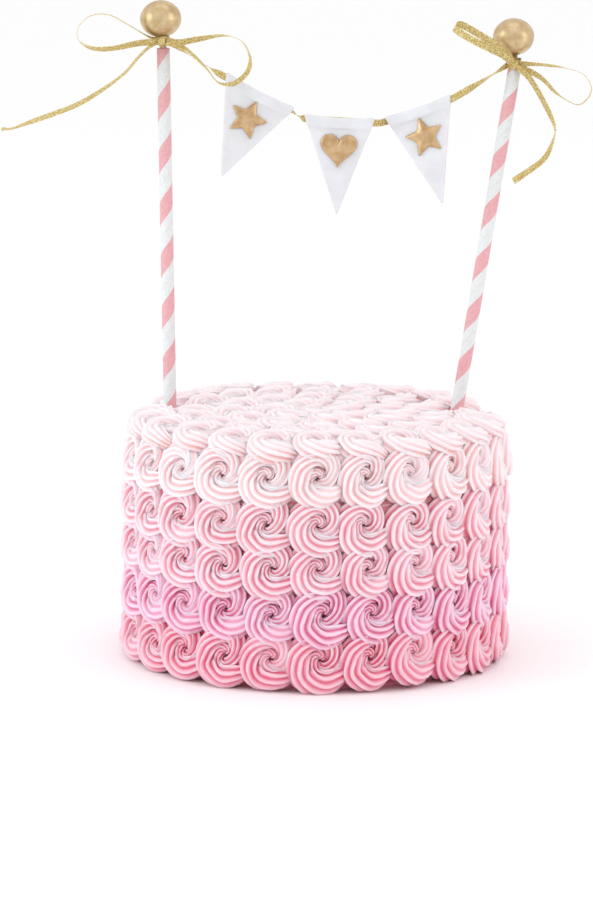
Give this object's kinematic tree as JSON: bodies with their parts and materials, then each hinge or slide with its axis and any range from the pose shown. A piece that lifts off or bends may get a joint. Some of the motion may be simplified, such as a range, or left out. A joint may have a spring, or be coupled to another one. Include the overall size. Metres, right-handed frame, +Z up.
{
  "type": "rosette cake with bunting topper",
  "caption": "Round ombre birthday cake piped all over with icing rosettes, with a bunting of small flags between two striped paper straws.",
  "frame": {"origin": "centre of the cake's underside, where it rests", "axes": "+Z up along the cake's axis, -Y towards the viewer of the bunting, +X to the viewer's right"},
  "size_m": [0.269, 0.1813, 0.2987],
  "materials": {
    "cake_coat": "matt pink buttercream coat",
    "icing_row_1": "soft satin buttercream, deep pink",
    "icing_row_2": "soft satin buttercream, deep cool pink",
    "icing_row_3": "soft satin buttercream, mid pink",
    "icing_row_4": "soft satin buttercream, light pink",
    "icing_row_5": "soft satin buttercream, pale pink",
    "icing_top": "soft satin buttercream, palest pink",
    "straw_paper": "paper with a pink and white spiral stripe",
    "finial_gold": "satin gold lustre paint",
    "ribbon_gold": "woven metallic gold ribbon",
    "flag_white": "smooth matt white sugar paste",
    "emblem_gold": "sugar paste brushed with gold lustre"
  },
  "bodies": {
    "root": {"cake_body": "cake_coat", "rosettes_row_1": "icing_row_1", "rosettes_row_2": "icing_row_2", "rosettes_row_3": "icing_row_3", "rosettes_row_4": "icing_row_4", "rosettes_row_5": "icing_row_5", "rosettes_ring_1": "icing_top", "rosettes_ring_2": "icing_top", "rosettes_ring_3": "icing_top", "rosettes_ring_4": "icing_top", "rosette_middle": "icing_top", "straw_left": "straw_paper", "straw_right": "straw_paper", "finial_left": "finial_gold", "finial_right": "finial_gold", "bow_left": "ribbon_gold", "bow_right": "ribbon_gold", "garland_ribbon": "ribbon_gold", "flag_left": "flag_white", "flag_middle": "flag_white", "flag_right": "flag_white", "emblem_left": "emblem_gold", "emblem_middle": "emblem_gold", "emblem_right": "emblem_gold"}
  },
  "joints": []
}
